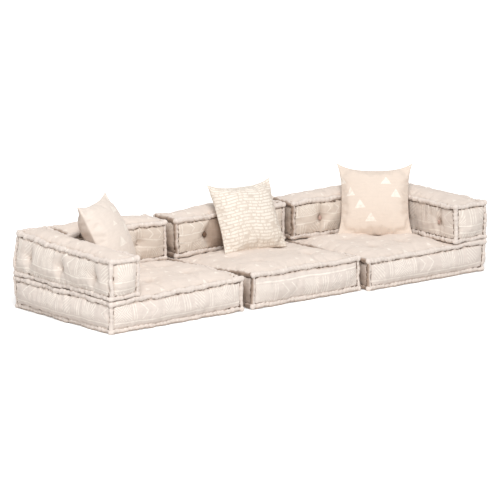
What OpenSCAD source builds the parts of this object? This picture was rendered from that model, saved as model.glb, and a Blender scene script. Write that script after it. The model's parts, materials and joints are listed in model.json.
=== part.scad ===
// Modular sofa bed: three tufted seat mattresses, five loose bolsters and
// three throw pillows, all resting on one another without a frame.
// Millimetres, +Z up, front towards -Y, origin on the floor under the middle.

/* [Seats] */
// Width of the left seat mattress
seat_left_width = 843; // [760:5:1000]
// Width of the middle seat mattress
seat_middle_width = 752; // [640:2:1000]
// Width of the right seat mattress
seat_right_width = 822; // [760:2:1000]
// Depth of every seat mattress, front to rear
seat_depth = 816; // [740:2:1000]
// Height of a seat mattress at its rolled edges
seat_height = 172; // [140:2:240]
// Rise of the soft top in the middle of the sitting area
seat_crown = 28; // [10:1:45]
// Gap between the left and the middle seat
gap_left = 45; // [10:1:120]
// Gap between the middle and the right seat
gap_right = 15; // [10:1:120]
// How far the middle seat is pulled forward of the left one
middle_forward = 8; // [0:1:80]
// How far the right seat is pulled forward of the left one
right_forward = 44; // [0:1:80]

/* [Bolsters] */
// Height of every bolster
bolster_height = 211; // [170:1:300]
// Thickness of the back bolsters
back_thickness = 200; // [160:2:240]
// Thickness of the left arm bolster
arm_left_thickness = 188; // [160:2:240]
// Thickness of the right arm bolster
arm_right_thickness = 214; // [160:2:240]
// Gap between an end back bolster and its arm bolster
arm_gap = 6; // [2:1:30]
// Rise of the soft top of a bolster
bolster_crown = 17; // [5:1:30]

/* [Rolled edges] */
// Radius of the stuffed roll that is stitched along every edge
roll_radius = 12.5; // [9:0.5:16]
// How far the pinched ear at a corner stands proud of the roll
ear_rise = 1.5; // [1:0.5:3]
// Length of each corner roll, from the corner to its butt joint
corner_roll = 50; // [45:1:90]

/* [Tufts] */
// Distance of the seat tufts from the borders of the sitting area
seat_tuft_inset = 205; // [140:5:225]
// Distance of the tufts of a back bolster from its ends
back_tuft_inset = 195; // [140:5:225]
// Distance of the outer tufts of an arm bolster from its ends
arm_tuft_inset = 140; // [110:5:220]
// Height of the bolster tufts above the bottom of the bolster
bolster_tuft_height = 104; // [80:1:120]
// Height of the seat tufts above the level of the rolled edges
seat_tuft_level = 8; // [4:1:12]
// Depth of the bolster tufts below the level of the rolled edges
bolster_tuft_sink = 13; // [6:1:18]
// Reach of the crease round a tuft
tuft_reach = 46; // [30:1:70]
// Radius of a tuft knot
knot_radius = 10.5; // [7:0.5:14]
// Height of a tuft knot
knot_height = 8; // [5:0.5:12]
// Radius of the twine that ties two knots through the mattress
tie_radius = 1.3; // [0.8:0.1:2]

/* [Filling] */
// Thickness of the cover with the wadding that is quilted to it
wadding = 36; // [32:1:44]
// Corner radius of the cotton core
core_corner = 24; // [10:1:40]

/* [Pillows] */
// Side of the two corner pillows
corner_pillow_size = 400; // [340:5:460]
// Side of the middle pillow
middle_pillow_size = 386; // [340:2:460]
// Thickness of a pillow in its middle
pillow_thickness = 138; // [90:2:170]
// How far the sides of a pillow are drawn in between its ears
pillow_pinch = 11; // [4:1:20]
// Thickness of a pillow cover with its lining
pillow_cloth = 4; // [3:0.5:6]
// Distance of the zip's ends from the ears of the pillow
zip_inset = 70; // [40:1:110]
// Thickness of the slot that the zip lies in
zip_tape = 2.4; // [1.8:0.1:3.6]
// Lean of the left pillow from the upright
pillow_left_lean = 26; // [15:1:40]
// Turn of the left pillow out of the row
pillow_left_turn = 33; // [20:1:50]
// Lean of the middle pillow from the upright
pillow_middle_lean = 28; // [15:1:40]
// Turn of the middle pillow out of the row
pillow_middle_turn = -7; // [-20:1:20]
// Distance of the middle pillow from the left side of its seat
pillow_middle_place = 413; // [300:1:440]
// Lean of the right pillow from the upright
pillow_right_lean = 28; // [15:1:40]
// Turn of the right pillow out of the row
pillow_right_turn = -39; // [-50:1:-20]

/* [Clearances] */
// Gap under and behind what rests loose on another piece
rest_gap = 0.3; // [0.2:0.1:0.6]
// Gap between a cover and what is sewn to it or stuffed into it
lining_gap = 0.3; // [0.2:0.1:0.6]

/* [Hidden] */
$fn = 72;
ear_radius = roll_radius + ear_rise;
// A panel lies this far inside the outer box, so that its border ends in the groove
groove_margin = 0.6;
panel_inset = ear_radius - (roll_radius + lining_gap) / sqrt(2) + groove_margin;
// A band swells by this much, to just short of the outer box
box_margin = 0.5;
band_swell = panel_inset - box_margin;
band_shares = [0, 0.16, 0.5, 0.84, 1];
// What stands on the floor or on a seat is pressed flat by this much
foot_press = 0.5;
pocket_play = 1.5;
pocket_floor = 1;
rear_pocket = knot_height + 3;
tie_play = 0.5;
knot_waist = 0.72 * knot_radius;
knot_rim = 0.25 * knot_height;
knot_top_radius = 0.6 * knot_radius;
// How far a cut runs past what it cuts
overrun = 1;
// Number of bays of the panels between their key lines
side_bays = 4;
middle_bays = 4;
// The seat top slopes down to its rolled edge over this width, also under a bolster
edge_slope = 2.5 * ear_radius;
bolster_bays = 3;
height_bays = 3;
pillow_bays = 12;
insert_bays = 6;
squeezed_pinch = 6;
thread_steps = 8;
settle_rounds = 9;
// The hollow of a cover is smaller by this many cloth thicknesses at its ears
ear_cloths = 3;
zip_slot_depth = pillow_pinch + 2 * ear_cloths * pillow_cloth + 8;

total_width = seat_left_width + gap_left + seat_middle_width + gap_right + seat_right_width;
total_depth = seat_depth + max(right_forward, middle_forward);
left_x = -total_width / 2;
middle_x = left_x + seat_left_width + gap_left;
right_x = middle_x + seat_middle_width + gap_right;
left_y = total_depth / 2 - seat_depth;
middle_y = left_y - middle_forward;
right_y = left_y - right_forward;
bolster_z = seat_height + rest_gap;
sitting_depth = seat_depth - back_thickness;
back_left_length = seat_left_width - arm_left_thickness - arm_gap;
back_right_length = seat_right_width - arm_right_thickness - arm_gap;
arm_tufts = [arm_tuft_inset, seat_depth / 2, seat_depth - arm_tuft_inset];

// Evenly spaced stops from key to key, with the given number of bays between two keys
function stops(keys, bays) = concat(
    [for (k = [0 : len(bays) - 1], i = [0 : bays[k] - 1])
        keys[k] + (keys[k + 1] - keys[k]) * i / bays[k]],
    [keys[len(keys) - 1]]
);

// Soft rise across a panel: 0 at both borders, 1 in the middle
function swell(u) = u <= 0 || u >= 1 ? 0 : 1 - pow(abs(2 * u - 1), 3);

// Pull of the nearest tuft: 1 at its knot, fading out with the distance
function pull(tufts, a, b) = max([for (t = tufts) exp(-norm([a - t[0], b - t[1]]) / tuft_reach)]);

// A closed soft block over a grid. Two panels, low and high, face along the third axis,
// and a band with levels in between runs round them.
module soft_block(across, along, levels, low, high, side) {
    na = len(across) - 1;
    nb = len(along) - 1;
    nc = len(levels) - 1;
    ring = concat(
        [for (i = [0 : na - 1]) [i, 0]],
        [for (j = [0 : nb - 1]) [na, j]],
        [for (i = [na : -1 : 1]) [i, nb]],
        [for (j = [nb : -1 : 1]) [0, j]]
    );
    nr = len(ring);
    panel_size = (na + 1) * (nb + 1);
    border = function(i, j) i == 0 || i == na || j == 0 || j == nb;
    outward = function(r) [r[0] == 0 ? -1 : r[0] == na ? 1 : 0, r[1] == 0 ? -1 : r[1] == nb ? 1 : 0];
    push = function(r, c) let (d = outward(r))
        abs(d[0]) + abs(d[1]) == 2 ? 0 : side(d, across[r[0]], along[r[1]], c);
    low_points = [for (i = [0 : na], j = [0 : nb])
        [across[i], along[j], border(i, j) ? levels[0] : low(across[i], along[j])]];
    high_points = [for (i = [0 : na], j = [0 : nb])
        [across[i], along[j], border(i, j) ? levels[nc] : high(across[i], along[j])]];
    band_points = [for (k = [1 : nc - 1], r = ring) let (d = outward(r), out = push(r, levels[k]))
        [across[r[0]] + out * d[0], along[r[1]] + out * d[1], levels[k]]];
    at = function(i, j) i * (nb + 1) + j;
    on_band = function(k, r) let (q = ring[r % nr])
        k == 0 ? at(q[0], q[1]) :
        k == nc ? panel_size + at(q[0], q[1]) :
        2 * panel_size + (k - 1) * nr + r % nr;
    cells = [for (i = [0 : na - 1], j = [0 : nb - 1])
        [at(i, j), at(i, j + 1), at(i + 1, j + 1), at(i + 1, j)]];
    high_faces = [for (q = cells, t = [[0, 1, 2], [0, 2, 3]]) [for (v = t) panel_size + q[v]]];
    low_faces = [for (q = cells, t = [[0, 2, 1], [0, 3, 2]]) [for (v = t) q[v]]];
    band_quads = [for (k = [0 : nc - 1], r = [0 : nr - 1])
        [on_band(k, r), on_band(k + 1, r), on_band(k + 1, r + 1), on_band(k, r + 1)]];
    band_faces = [for (q = band_quads, t = [[0, 1, 2], [0, 2, 3]]) [for (v = t) q[v]]];
    polyhedron(concat(low_points, high_points, band_points), concat(low_faces, high_faces, band_faces));
}

// A rod along one axis of the box (0, 1 or 2)
module rod(axis, length, radius) {
    turn = [[0, 90, 0], [-90, 0, 0], [0, 0, 0]];
    rotate(turn[axis])
        cylinder(h = length, r = radius);
}

// Places of the roll axes in one direction of a box
function edge_places(length) = [ear_radius, length - ear_radius];

// The groove that the rolled edges of a box lie in
module edge_groove(size) {
    bed = roll_radius + lining_gap;
    for (b = edge_places(size[1]), c = edge_places(size[2]))
        translate([0, b, c])
            rod(0, size[0], bed);
    for (a = edge_places(size[0]), c = edge_places(size[2]))
        translate([a, 0, c])
            rod(1, size[1], bed);
    for (a = edge_places(size[0]), b = edge_places(size[1]))
        translate([a, b, 0])
            rod(2, size[2], bed);
    for (a = edge_places(size[0]), b = edge_places(size[1]), c = edge_places(size[2]))
        translate([a, b, c])
            sphere(r = ear_radius + lining_gap);
}

// One corner roll: the short edge with its two ears and the starts of the long edges
module corner_post(depth) {
    span = depth - 2 * ear_radius;
    start = corner_roll - ear_radius;
    rod(2, span, roll_radius);
    for (c = [0, span])
        translate([0, 0, c]) {
            sphere(r = ear_radius);
            rod(0, start, roll_radius);
            rod(1, start, roll_radius);
        }
}

// The stuffed rolls along all twelve edges of a box: four corner rolls and eight straight lengths
module rolled_edges(size) {
    joint = corner_roll + lining_gap;
    for (i = [0, 1], j = [0, 1])
        translate([i * size[0], j * size[1], 0])
            mirror([i, 0, 0])
                mirror([0, j, 0])
                    translate([ear_radius, ear_radius, ear_radius])
                        corner_post(size[2]);
    for (b = edge_places(size[1]), c = edge_places(size[2]))
        translate([joint, b, c])
            rod(0, size[0] - 2 * joint, roll_radius);
    for (a = edge_places(size[0]), c = edge_places(size[2]))
        translate([a, joint, c])
            rod(1, size[1] - 2 * joint, roll_radius);
}

// The cotton core, and with grow the hollow that it fills
module core_block(size, grow) {
    inset = wadding - grow;
    r = core_corner;
    a = size[0] - 2 * inset;
    b = size[1] - 2 * inset;
    translate([inset, inset, inset])
        linear_extrude(height = size[2] - 2 * inset)
            union() {
                translate([r, 0])
                    square([a - 2 * r, b]);
                translate([0, r])
                    square([a, b - 2 * r]);
                for (x = [r, a - r], y = [r, b - r])
                    translate([x, y])
                        circle(r = r);
            }
}

// Bores for the twine through a core or a cover
module tie_bores(size, tufts) {
    for (t = tufts)
        translate([t[0], t[1], -overrun])
            cylinder(h = size[2] + seat_crown + 2 * overrun, r = tie_radius + tie_play, $fn = 24);
}

// A tuft knot standing on its flat back, with a waist, a rounded rim and a raised middle
module knot() {
    rim_place = knot_radius - knot_rim;
    rotate_extrude()
        union() {
            square([knot_waist, 2 * knot_rim]);
            translate([0, knot_rim])
                square([rim_place, 2 * knot_rim]);
            translate([rim_place, 2 * knot_rim])
                circle(r = knot_rim);
            square([knot_top_radius, knot_height]);
        }
}

// The knots of a block, each standing on its seat under the low or the high panel
module tuft_knots(tufts, low_seat, high_seat) {
    for (t = tufts) {
        translate([t[0], t[1], high_seat + lining_gap])
            knot();
        translate([t[0], t[1], low_seat - lining_gap])
            mirror([0, 0, 1])
                knot();
    }
}

module tuft_ties(tufts, low_seat, high_seat) {
    for (t = tufts)
        translate([t[0], t[1], low_seat])
            cylinder(h = high_seat - low_seat, r = tie_radius, $fn = 24);
}

module knot_pockets(tufts, low_seat, high_seat) {
    deep = knot_height + seat_crown + bolster_tuft_sink;
    for (t = tufts) {
        translate([t[0], t[1], high_seat])
            cylinder(h = deep, r = knot_radius + pocket_play);
        translate([t[0], t[1], low_seat - deep])
            cylinder(h = deep, r = knot_radius + pocket_play);
    }
}

module filled_core(size, tufts) {
    difference() {
        core_block(size, -lining_gap);
        tie_bores(size, tufts);
    }
}

// Takes everything that lies in or on a cover out of its soft block
module fitted_cover(size, tufts, low_seat, high_seat) {
    difference() {
        children();
        edge_groove(size);
        core_block(size, 0);
        tie_bores(size, tufts);
        knot_pockets(tufts, low_seat, high_seat);
    }
}

// Seats: across is the width, along is the depth, and the third axis is the height

function seat_size(width) = [width, seat_depth, seat_height];
function seat_tufts(width, arm_low, arm_high) = [
    for (a = [arm_low + seat_tuft_inset, width - arm_high - seat_tuft_inset],
         b = [seat_tuft_inset, sitting_depth - seat_tuft_inset]) [a, b]
];
seat_low_seat = rear_pocket;
seat_high_seat = seat_height + seat_tuft_level - pocket_floor;

function seat_across(width, arm_low, arm_high) =
    let (t = seat_tufts(width, arm_low, arm_high), first = t[0][0], second = t[2][0])
    let (keys = concat([panel_inset], arm_low > 0 ? [edge_slope, arm_low] : [], [first, second],
        arm_high > 0 ? [width - arm_high, width - edge_slope] : [], [width - panel_inset]))
    let (bays = concat(arm_low > 0 ? [1, 1] : [], [side_bays, middle_bays, side_bays],
        arm_high > 0 ? [1, 1] : []))
    stops(keys, bays);
seat_along = stops(
    [panel_inset, seat_tuft_inset, sitting_depth - seat_tuft_inset, sitting_depth,
        seat_depth - edge_slope, seat_depth - panel_inset],
    [side_bays, middle_bays - 1, side_bays, 1, 1]
);
seat_levels = stops([panel_inset, seat_height - panel_inset], [4]);

// Height of the seat top: pressed flat under the bolsters, crowned over the sitting area
function seat_top(width, arm_low, arm_high, a, b) =
    let (u = (a - arm_low) / (width - arm_low - arm_high), v = b / sitting_depth)
    let (rise = seat_crown * swell(u) * swell(v), k = pull(seat_tufts(width, arm_low, arm_high), a, b))
    seat_height + rise * (1 - k) + (rise > 0 ? seat_tuft_level * k : 0);

module seat_cover(width, arm_low, arm_high) {
    low = function(a, b) -foot_press;
    high = function(a, b) seat_top(width, arm_low, arm_high, a, b);
    side = function(d, a, b, c) band_swell * swell(c / seat_height);
    fitted_cover(seat_size(width), seat_tufts(width, arm_low, arm_high), seat_low_seat, seat_high_seat)
        difference() {
            soft_block(seat_across(width, arm_low, arm_high), seat_along, seat_levels, low, high, side);
            translate([0, 0, -2 * foot_press])
                cube([width, seat_depth, 2 * foot_press]);
        }
}

// Bolsters: across is the length, along is the height, and the third axis is the thickness

function bolster_size(length, thickness) = [length, bolster_height, thickness];
function bolster_tufts(places) = [for (a = places) [a, bolster_tuft_height]];
bolster_low_seat = bolster_tuft_sink + pocket_floor;
function bolster_high_seat(thickness) = thickness - bolster_tuft_sink - pocket_floor;
function back_tufts(length) = [back_tuft_inset, length - back_tuft_inset];

module bolster_knots(thickness, places) {
    tuft_knots(bolster_tufts(places), bolster_low_seat, bolster_high_seat(thickness));
}

module bolster_ties(thickness, places) {
    tuft_ties(bolster_tufts(places), bolster_low_seat, bolster_high_seat(thickness));
}

module bolster_cover(length, thickness, places) {
    tufts = bolster_tufts(places);
    keys = concat([panel_inset], places, [length - panel_inset]);
    across = stops(keys, [for (k = [1 : len(keys) - 1]) bolster_bays]);
    along = stops([panel_inset, bolster_tuft_height, bolster_height - panel_inset],
        [height_bays, height_bays]);
    levels = [for (u = band_shares) panel_inset + (thickness - 2 * panel_inset) * u];
    face = function(a, b) band_swell * swell(a / length) * swell(b / bolster_height) - panel_inset;
    sunk = function(a, b) let (k = pull(tufts, a, b)) face(a, b) * (1 - k) - bolster_tuft_sink * k;
    low = function(a, b) -sunk(a, b);
    high = function(a, b) thickness + sunk(a, b);
    side = function(d, a, b, c)
        d[1] < 0 ? panel_inset + foot_press :
        d[1] > 0 ? panel_inset + bolster_crown * swell(a / length) * swell(c / thickness) :
        band_swell * swell(b / bolster_height) * swell(c / thickness);
    fitted_cover(bolster_size(length, thickness), tufts, bolster_low_seat, bolster_high_seat(thickness))
        difference() {
            soft_block(across, along, levels, low, high, side);
            translate([0, -2 * foot_press, 0])
                cube([length, 2 * foot_press, thickness]);
        }
}

// Pillows: width, height and thickness, with the front face upwards

function face_stops(bays) = [for (i = [0 : bays]) sin(90 * (2 * i / bays - 1))];

// A point of one face: s and t run from -1 to 1 over it
function pillow_point(size, thickness, s, t, face, pinch = pillow_pinch) = [
    s * (size / 2 - pinch * (1 - t * t) * s * s),
    t * (size / 2 - pinch * (1 - s * s) * t * t),
    face * thickness / 2 * sqrt((1 - s * s) * (1 - t * t))
];

// Each cell is split on the diagonal that points at the nearer ear, and this is the rising one
function toward_ear(i, j, bays) = (i < bays / 2) == (j < bays / 2);

// A closed pillow: two faces over the same grid, sewn together round the border
module pillow_form(size, thickness, bays) {
    marks = face_stops(bays);
    n = bays + 1;
    border = function(i, j) i == 0 || i == bays || j == 0 || j == bays;
    front = [for (i = [0 : bays], j = [0 : bays]) pillow_point(size, thickness, marks[i], marks[j], 1)];
    rear = [for (i = [1 : bays - 1], j = [1 : bays - 1])
        pillow_point(size, thickness, marks[i], marks[j], -1)];
    at = function(i, j) i * n + j;
    rear_at = function(i, j) border(i, j) ? at(i, j) : n * n + (i - 1) * (bays - 1) + j - 1;
    cells = [for (i = [0 : bays - 1], j = [0 : bays - 1]) [[i, j], [i, j + 1], [i + 1, j + 1], [i + 1, j]]];
    halves = [for (q = cells) each toward_ear(q[0][0], q[0][1], bays)
        ? [[q[0], q[1], q[2]], [q[0], q[2], q[3]]]
        : [[q[0], q[1], q[3]], [q[1], q[2], q[3]]]];
    front_faces = [for (h = halves) [for (q = h) at(q[0], q[1])]];
    rear_faces = [for (h = halves) [for (q = [h[0], h[2], h[1]]) rear_at(q[0], q[1])]];
    polyhedron(concat(front, rear), concat(front_faces, rear_faces));
}

module pillow_pad(size, grow) {
    shrink = pillow_cloth - grow;
    pillow_form(size - 2 * ear_cloths * shrink, pillow_thickness - 2 * shrink, insert_bays);
}

module pillow_cover(size) {
    difference() {
        pillow_form(size, pillow_thickness, pillow_bays);
        pillow_pad(size, 0);
        zip_slot(size);
    }
}

// The slot of the zip in the lower seam, from the seam into the hollow of the cover
module zip_slot(size) {
    length = size - 2 * zip_inset;
    translate([-length / 2, -size / 2 - overrun, -zip_tape / 2])
        cube([length, zip_slot_depth, zip_tape]);
}

// The zip: a tape in the slot, from the drawn-in seam to just short of the insert's edge
module pillow_zip(size) {
    length = size - 2 * zip_inset - 2 * lining_gap;
    insert_half = size / 2 - ear_cloths * (pillow_cloth + lining_gap);
    insert_edge = pillow_pinch * (1 - pow(face_stops(insert_bays)[insert_bays - 1], 2)) - insert_half;
    seam = pillow_pinch - size / 2;
    translate([-length / 2, seam, lining_gap - zip_tape / 2])
        cube([length, insert_edge - lining_gap - seam, zip_tape - 2 * lining_gap]);
}

// A point of a pillow after it leans back and turns
function leaned(p, lean, turn) =
    let (y = p[1] * sin(lean) - p[2] * cos(lean), z = p[1] * cos(lean) + p[2] * sin(lean))
    [p[0] * cos(turn) - y * sin(turn), p[0] * sin(turn) + y * cos(turn), z];

// The mesh edges of one face of a pillow, each as its two ends
function pillow_threads(size, face, pinch) =
    let (marks = face_stops(pillow_bays), n = pillow_bays)
    let (at = function(i, j) pillow_point(size, pillow_thickness, marks[i], marks[j], face, pinch))
    [for (i = [0 : n], j = [0 : n]) each concat(
        i < n ? [[at(i, j), at(i + 1, j)]] : [],
        j < n ? [[at(i, j), at(i, j + 1)]] : [],
        i == n || j == n ? [] :
        toward_ear(i, j, n) ? [[at(i, j), at(i + 1, j + 1)]] : [[at(i, j + 1), at(i + 1, j)]]
    )];

// Points close together along those edges, for the contact with a roll and with the seat
function thread_points(threads, lean, turn) = [
    for (e = threads, k = [0 : thread_steps]) leaned(e[0] + (e[1] - e[0]) * k / thread_steps, lean, turn)
];

// How far behind a bolster's front plane something at a given height may reach over its roll
function over_roll(height) =
    let (up = height - (bolster_z + bolster_height - ear_radius), reach = roll_radius + rest_gap)
    up <= 0 ? -rest_gap :
    up >= reach ? 1000 :
    ear_radius - sqrt(reach * reach - up * up);

// Height of the seat's faceted top, or of a knot on it, under a point in the seat's own frame
function cell_of(list, v) = min(len(list) - 2, max(0, len([for (a = list) if (a <= v) a]) - 1));
function ground_height(across, tufts, top, a, b) =
    let (i = cell_of(across, a), j = cell_of(seat_along, b))
    let (u = (a - across[i]) / (across[i + 1] - across[i]))
    let (v = (b - seat_along[j]) / (seat_along[j + 1] - seat_along[j]))
    let (low = top(across[i], seat_along[j]), far = top(across[i + 1], seat_along[j + 1]))
    let (knot_top = seat_high_seat + lining_gap + knot_height)
    let (knots = [for (t = tufts) if (norm([a, b] - t) < knot_radius + pocket_play) knot_top])
    let (cloth = v > u
        ? let (corner = top(across[i], seat_along[j + 1])) low + (corner - low) * v + (far - corner) * u
        : let (corner = top(across[i + 1], seat_along[j])) low + (corner - low) * u + (far - corner) * v)
    max(concat(knots, [cloth]));

// Lets a pillow settle in a seat's frame: back against the bolsters, then down on the seat
function settled(rear, foot, ground, width, arm_low, arm_high, place, rounds) =
    rounds == 0 ? place :
    let (x = arm_low > 0
        ? max([for (p = rear) arm_low - over_roll(p[2] + place[2]) - p[0]])
        : arm_high > 0
            ? min([for (p = rear) width - arm_high + over_roll(p[2] + place[2]) - p[0]])
            : place[0])
    let (y = min([for (p = rear) sitting_depth + over_roll(p[2] + place[2]) - p[1]]))
    let (z = max([for (p = foot) ground(x + p[0], y + p[1]) + rest_gap - p[2]]))
    settled(rear, foot, ground, width, arm_low, arm_high, [x, y, z], rounds - 1);

function pillow_place(size, lean, turn, width, arm_low, arm_high, start) =
    let (across = seat_across(width, arm_low, arm_high), tufts = seat_tufts(width, arm_low, arm_high))
    let (top = function(a, b) seat_top(width, arm_low, arm_high, a, b))
    let (ground = function(a, b) ground_height(across, tufts, top, a, b))
    // Against a bolster the sides count as less drawn in, so that a squeezed pillow clears it
    let (rear = pillow_threads(size, -1, squeezed_pinch))
    let (faces = [for (face = [-1, 1]) each pillow_threads(size, face, pillow_pinch)])
    let (lower = [for (e = faces) if (e[0][1] < 0) e])
    settled(thread_points(rear, lean, turn), thread_points(lower, lean, turn), ground,
        width, arm_low, arm_high, start, settle_rounds);

// Where each piece lies in the sofa

module in_seat_left() { translate([left_x, left_y, 0]) children(); }
module in_seat_middle() { translate([middle_x, middle_y, 0]) children(); }
module in_seat_right() { translate([right_x, right_y, 0]) children(); }
module as_back(x) { translate([x, seat_depth, bolster_z]) rotate([90, 0, 0]) children(); }
module as_arm(x) { translate([x, 0, bolster_z]) rotate([90, 0, 90]) children(); }
module in_back_left() { in_seat_left() as_back(arm_left_thickness + arm_gap) children(); }
module in_back_middle() { in_seat_middle() as_back(0) children(); }
module in_back_right() { in_seat_right() as_back(0) children(); }
module in_arm_left() { in_seat_left() as_arm(0) children(); }
module in_arm_right() { in_seat_right() as_arm(seat_right_width - arm_right_thickness) children(); }
module leaning(place, lean, turn) { translate(place) rotate([90 - lean, 0, turn]) children(); }

// The left seat
left_seat = seat_size(seat_left_width);
left_seat_tufts = seat_tufts(seat_left_width, arm_left_thickness, 0);
module seat_left_cover() {
    color("linen") in_seat_left() seat_cover(seat_left_width, arm_left_thickness, 0);
}
module seat_left_core() {
    color("ivory") in_seat_left() filled_core(left_seat, left_seat_tufts);
}
module seat_left_rolled_edges() {
    color("antiquewhite") in_seat_left() rolled_edges(left_seat);
}
module seat_left_tufts() {
    color("tan") in_seat_left() tuft_knots(left_seat_tufts, seat_low_seat, seat_high_seat);
}
module seat_left_ties() {
    color("peru") in_seat_left() tuft_ties(left_seat_tufts, seat_low_seat, seat_high_seat);
}

// The middle seat
middle_seat = seat_size(seat_middle_width);
middle_seat_tufts = seat_tufts(seat_middle_width, 0, 0);
module seat_middle_cover() {
    color("linen") in_seat_middle() seat_cover(seat_middle_width, 0, 0);
}
module seat_middle_core() {
    color("ivory") in_seat_middle() filled_core(middle_seat, middle_seat_tufts);
}
module seat_middle_rolled_edges() {
    color("antiquewhite") in_seat_middle() rolled_edges(middle_seat);
}
module seat_middle_tufts() {
    color("tan") in_seat_middle() tuft_knots(middle_seat_tufts, seat_low_seat, seat_high_seat);
}
module seat_middle_ties() {
    color("peru") in_seat_middle() tuft_ties(middle_seat_tufts, seat_low_seat, seat_high_seat);
}

// The right seat
right_seat = seat_size(seat_right_width);
right_seat_tufts = seat_tufts(seat_right_width, 0, arm_right_thickness);
module seat_right_cover() {
    color("linen") in_seat_right() seat_cover(seat_right_width, 0, arm_right_thickness);
}
module seat_right_core() {
    color("ivory") in_seat_right() filled_core(right_seat, right_seat_tufts);
}
module seat_right_rolled_edges() {
    color("antiquewhite") in_seat_right() rolled_edges(right_seat);
}
module seat_right_tufts() {
    color("tan") in_seat_right() tuft_knots(right_seat_tufts, seat_low_seat, seat_high_seat);
}
module seat_right_ties() {
    color("peru") in_seat_right() tuft_ties(right_seat_tufts, seat_low_seat, seat_high_seat);
}

// The left back bolster
back_left_size = bolster_size(back_left_length, back_thickness);
back_left_places = back_tufts(back_left_length);
module back_left_cover() {
    color("linen") in_back_left() bolster_cover(back_left_length, back_thickness, back_left_places);
}
module back_left_core() {
    color("ivory") in_back_left() filled_core(back_left_size, bolster_tufts(back_left_places));
}
module back_left_rolled_edges() {
    color("antiquewhite") in_back_left() rolled_edges(back_left_size);
}
module back_left_tufts() {
    color("tan") in_back_left() bolster_knots(back_thickness, back_left_places);
}
module back_left_ties() {
    color("peru") in_back_left() bolster_ties(back_thickness, back_left_places);
}

// The middle back bolster
back_middle_size = bolster_size(seat_middle_width, back_thickness);
back_middle_places = back_tufts(seat_middle_width);
module back_middle_cover() {
    color("linen") in_back_middle() bolster_cover(seat_middle_width, back_thickness, back_middle_places);
}
module back_middle_core() {
    color("ivory") in_back_middle() filled_core(back_middle_size, bolster_tufts(back_middle_places));
}
module back_middle_rolled_edges() {
    color("antiquewhite") in_back_middle() rolled_edges(back_middle_size);
}
module back_middle_tufts() {
    color("tan") in_back_middle() bolster_knots(back_thickness, back_middle_places);
}
module back_middle_ties() {
    color("peru") in_back_middle() bolster_ties(back_thickness, back_middle_places);
}

// The right back bolster
back_right_size = bolster_size(back_right_length, back_thickness);
back_right_places = back_tufts(back_right_length);
module back_right_cover() {
    color("linen") in_back_right() bolster_cover(back_right_length, back_thickness, back_right_places);
}
module back_right_core() {
    color("ivory") in_back_right() filled_core(back_right_size, bolster_tufts(back_right_places));
}
module back_right_rolled_edges() {
    color("antiquewhite") in_back_right() rolled_edges(back_right_size);
}
module back_right_tufts() {
    color("tan") in_back_right() bolster_knots(back_thickness, back_right_places);
}
module back_right_ties() {
    color("peru") in_back_right() bolster_ties(back_thickness, back_right_places);
}

// The left arm bolster
arm_left_size = bolster_size(seat_depth, arm_left_thickness);
arm_left_places = arm_tufts;
module arm_left_cover() {
    color("linen") in_arm_left() bolster_cover(seat_depth, arm_left_thickness, arm_left_places);
}
module arm_left_core() {
    color("ivory") in_arm_left() filled_core(arm_left_size, bolster_tufts(arm_left_places));
}
module arm_left_rolled_edges() {
    color("antiquewhite") in_arm_left() rolled_edges(arm_left_size);
}
module arm_left_tufts() {
    color("tan") in_arm_left() bolster_knots(arm_left_thickness, arm_left_places);
}
module arm_left_ties() {
    color("peru") in_arm_left() bolster_ties(arm_left_thickness, arm_left_places);
}

// The right arm bolster
arm_right_size = bolster_size(seat_depth, arm_right_thickness);
arm_right_places = arm_tufts;
module arm_right_cover() {
    color("linen") in_arm_right() bolster_cover(seat_depth, arm_right_thickness, arm_right_places);
}
module arm_right_core() {
    color("ivory") in_arm_right() filled_core(arm_right_size, bolster_tufts(arm_right_places));
}
module arm_right_rolled_edges() {
    color("antiquewhite") in_arm_right() rolled_edges(arm_right_size);
}
module arm_right_tufts() {
    color("tan") in_arm_right() bolster_knots(arm_right_thickness, arm_right_places);
}
module arm_right_ties() {
    color("peru") in_arm_right() bolster_ties(arm_right_thickness, arm_right_places);
}

// The pillows
module at_pillow_left() {
    place = pillow_place(corner_pillow_size, pillow_left_lean, pillow_left_turn,
        seat_left_width, arm_left_thickness, 0, [0, 0, seat_height + corner_pillow_size / 2]);
    in_seat_left() leaning(place, pillow_left_lean, pillow_left_turn) children();
}
module at_pillow_middle() {
    place = pillow_place(middle_pillow_size, pillow_middle_lean, pillow_middle_turn,
        seat_middle_width, 0, 0, [pillow_middle_place, 0, seat_height + middle_pillow_size / 2]);
    in_seat_middle() leaning(place, pillow_middle_lean, pillow_middle_turn) children();
}
module at_pillow_right() {
    place = pillow_place(corner_pillow_size, pillow_right_lean, pillow_right_turn,
        seat_right_width, 0, arm_right_thickness, [0, 0, seat_height + corner_pillow_size / 2]);
    in_seat_right() leaning(place, pillow_right_lean, pillow_right_turn) children();
}
module pillow_left_cover() {
    color("wheat") at_pillow_left() pillow_cover(corner_pillow_size);
}
module pillow_left_insert() {
    color("white") at_pillow_left() pillow_pad(corner_pillow_size, -lining_gap);
}
module pillow_left_zip() {
    color("tan") at_pillow_left() pillow_zip(corner_pillow_size);
}
module pillow_middle_cover() {
    color("wheat") at_pillow_middle() pillow_cover(middle_pillow_size);
}
module pillow_middle_insert() {
    color("white") at_pillow_middle() pillow_pad(middle_pillow_size, -lining_gap);
}
module pillow_middle_zip() {
    color("tan") at_pillow_middle() pillow_zip(middle_pillow_size);
}
module pillow_right_cover() {
    color("wheat") at_pillow_right() pillow_cover(corner_pillow_size);
}
module pillow_right_insert() {
    color("white") at_pillow_right() pillow_pad(corner_pillow_size, -lining_gap);
}
module pillow_right_zip() {
    color("tan") at_pillow_right() pillow_zip(corner_pillow_size);
}

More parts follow.
